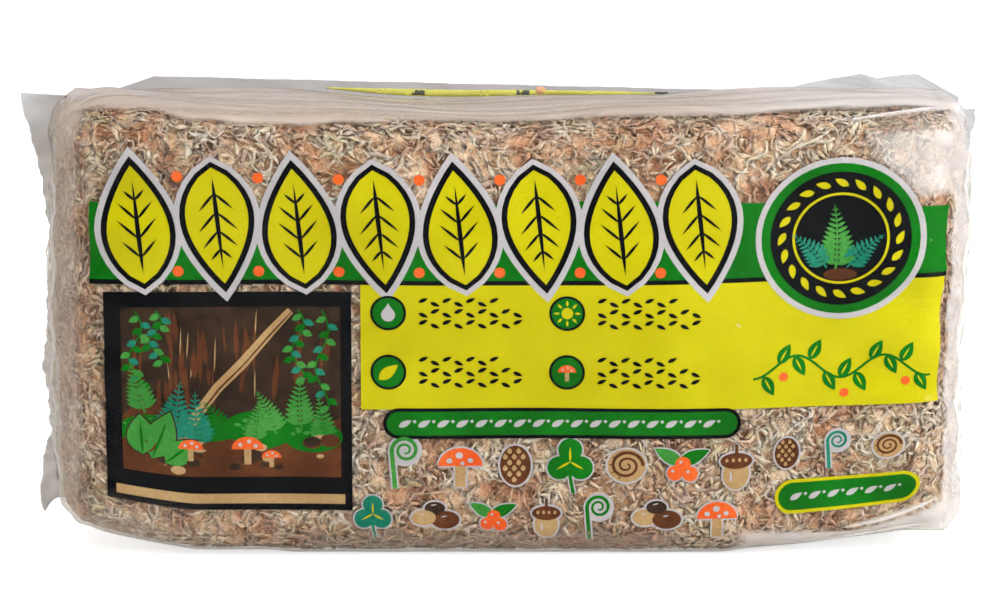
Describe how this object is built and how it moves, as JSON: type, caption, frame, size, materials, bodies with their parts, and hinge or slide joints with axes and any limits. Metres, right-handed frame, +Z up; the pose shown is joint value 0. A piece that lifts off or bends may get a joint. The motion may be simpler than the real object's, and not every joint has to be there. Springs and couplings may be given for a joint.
{
  "type": "bagged sphagnum moss brick",
  "caption": "Pressed brick of dried sphagnum moss in a clear printed film bag with end seals and a standing seam.",
  "frame": {"origin": "the middle of the bounding box at the level of the underside, on the ground", "axes": "+X along the brick to its right end, +Y from the printed front to the back, +Z up"},
  "size_m": [0.2654, 0.0592, 0.1306],
  "materials": {
    "moss": "matte, woolly dried moss",
    "film": "glossy clear polyethylene film",
    "ink_green": "printed ink on film",
    "ink_yellow": "printed ink on film",
    "ink_black": "printed ink on film",
    "ink_white": "printed ink on film",
    "ink_accent": "printed ink on film"
  },
  "bodies": {
    "root": {"moss_block": "moss", "film_bag": "film"}
  },
  "joints": []
}
